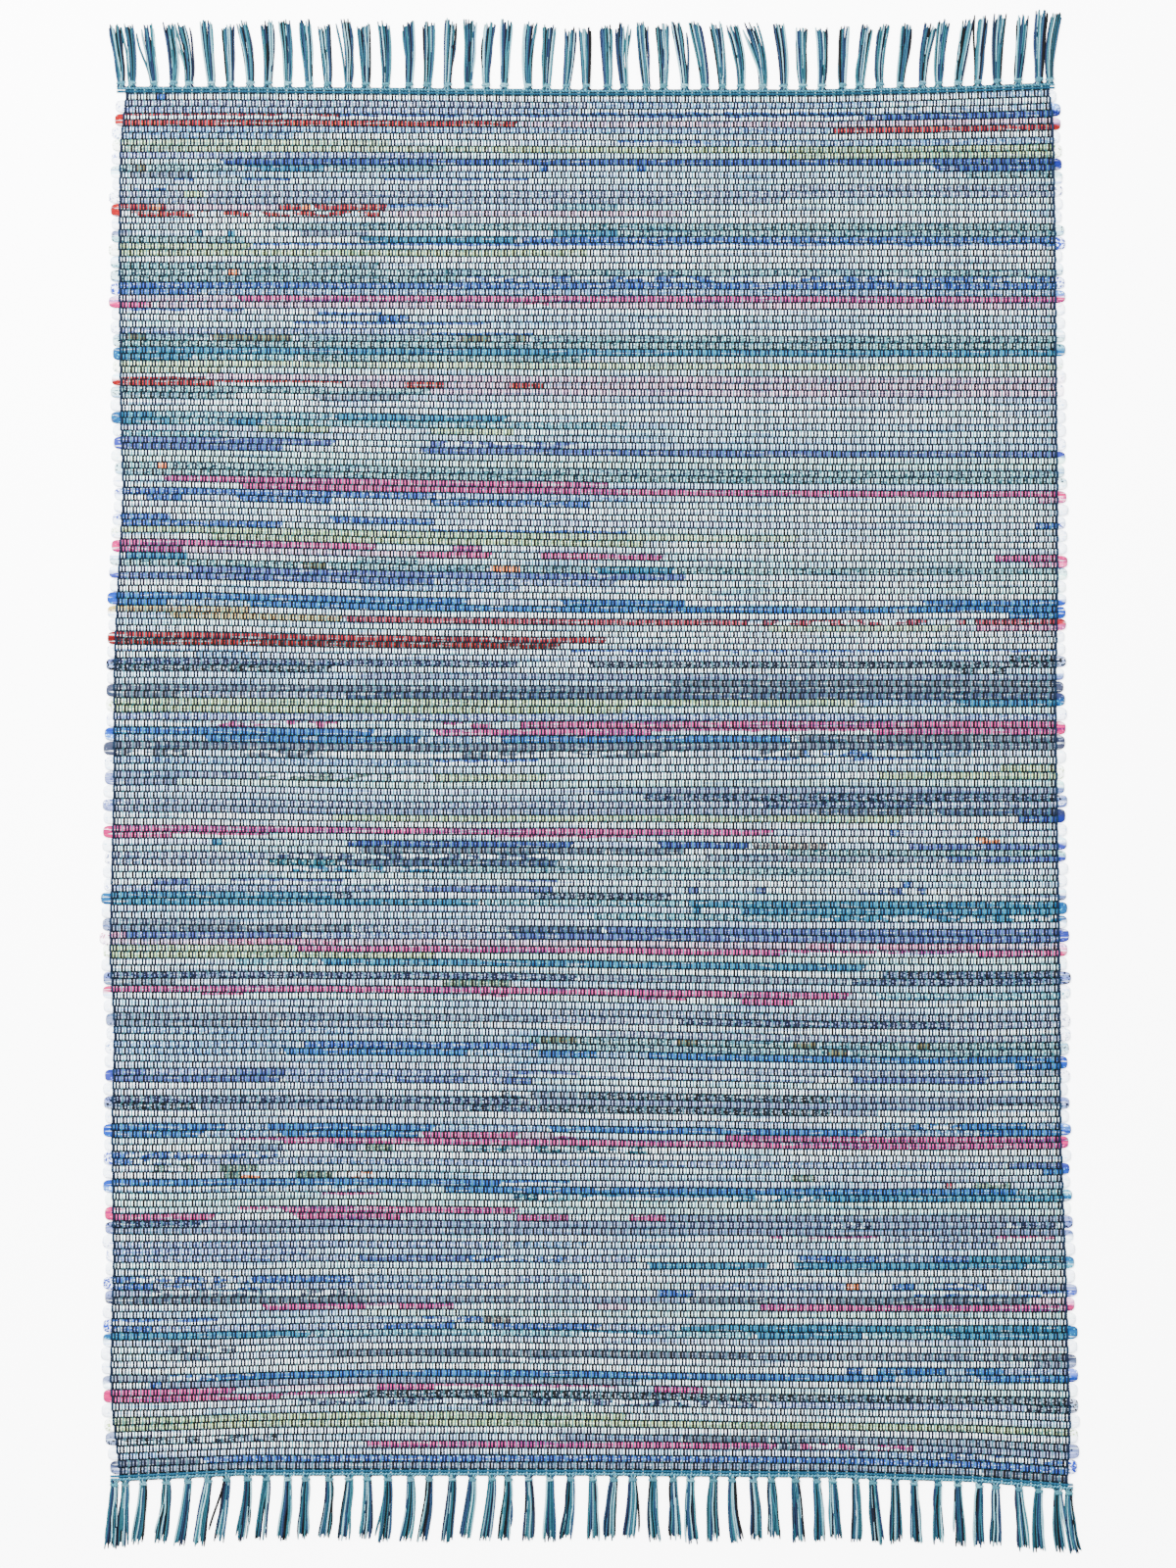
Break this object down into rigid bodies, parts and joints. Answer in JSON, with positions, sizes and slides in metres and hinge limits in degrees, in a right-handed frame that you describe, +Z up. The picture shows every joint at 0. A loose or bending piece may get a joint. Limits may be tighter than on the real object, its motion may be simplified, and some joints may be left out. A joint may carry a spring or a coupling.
{
  "type": "rag rug",
  "caption": "Flat woven rag rug: doubled cloth strips held by thin warp yarns, turned at the sides, with a heading and knotted yarn tassels at both ends.",
  "frame": {"origin": "near the middle of the rug, on the flat crest of the middle weft on the underside", "axes": "+Y along the warp towards the picture's upper end, +Z up out of the upper face, +X along the wefts to the picture's right"},
  "size_m": [1.4088, 2.1918, 0.0074],
  "materials": {
    "rag_weave": "matte",
    "north_yarn": "matte",
    "south_yarn": "matte"
  },
  "bodies": {
    "root": {"rug_body": "rag_weave", "fringe_north": "north_yarn", "fringe_south": "south_yarn"}
  },
  "joints": []
}
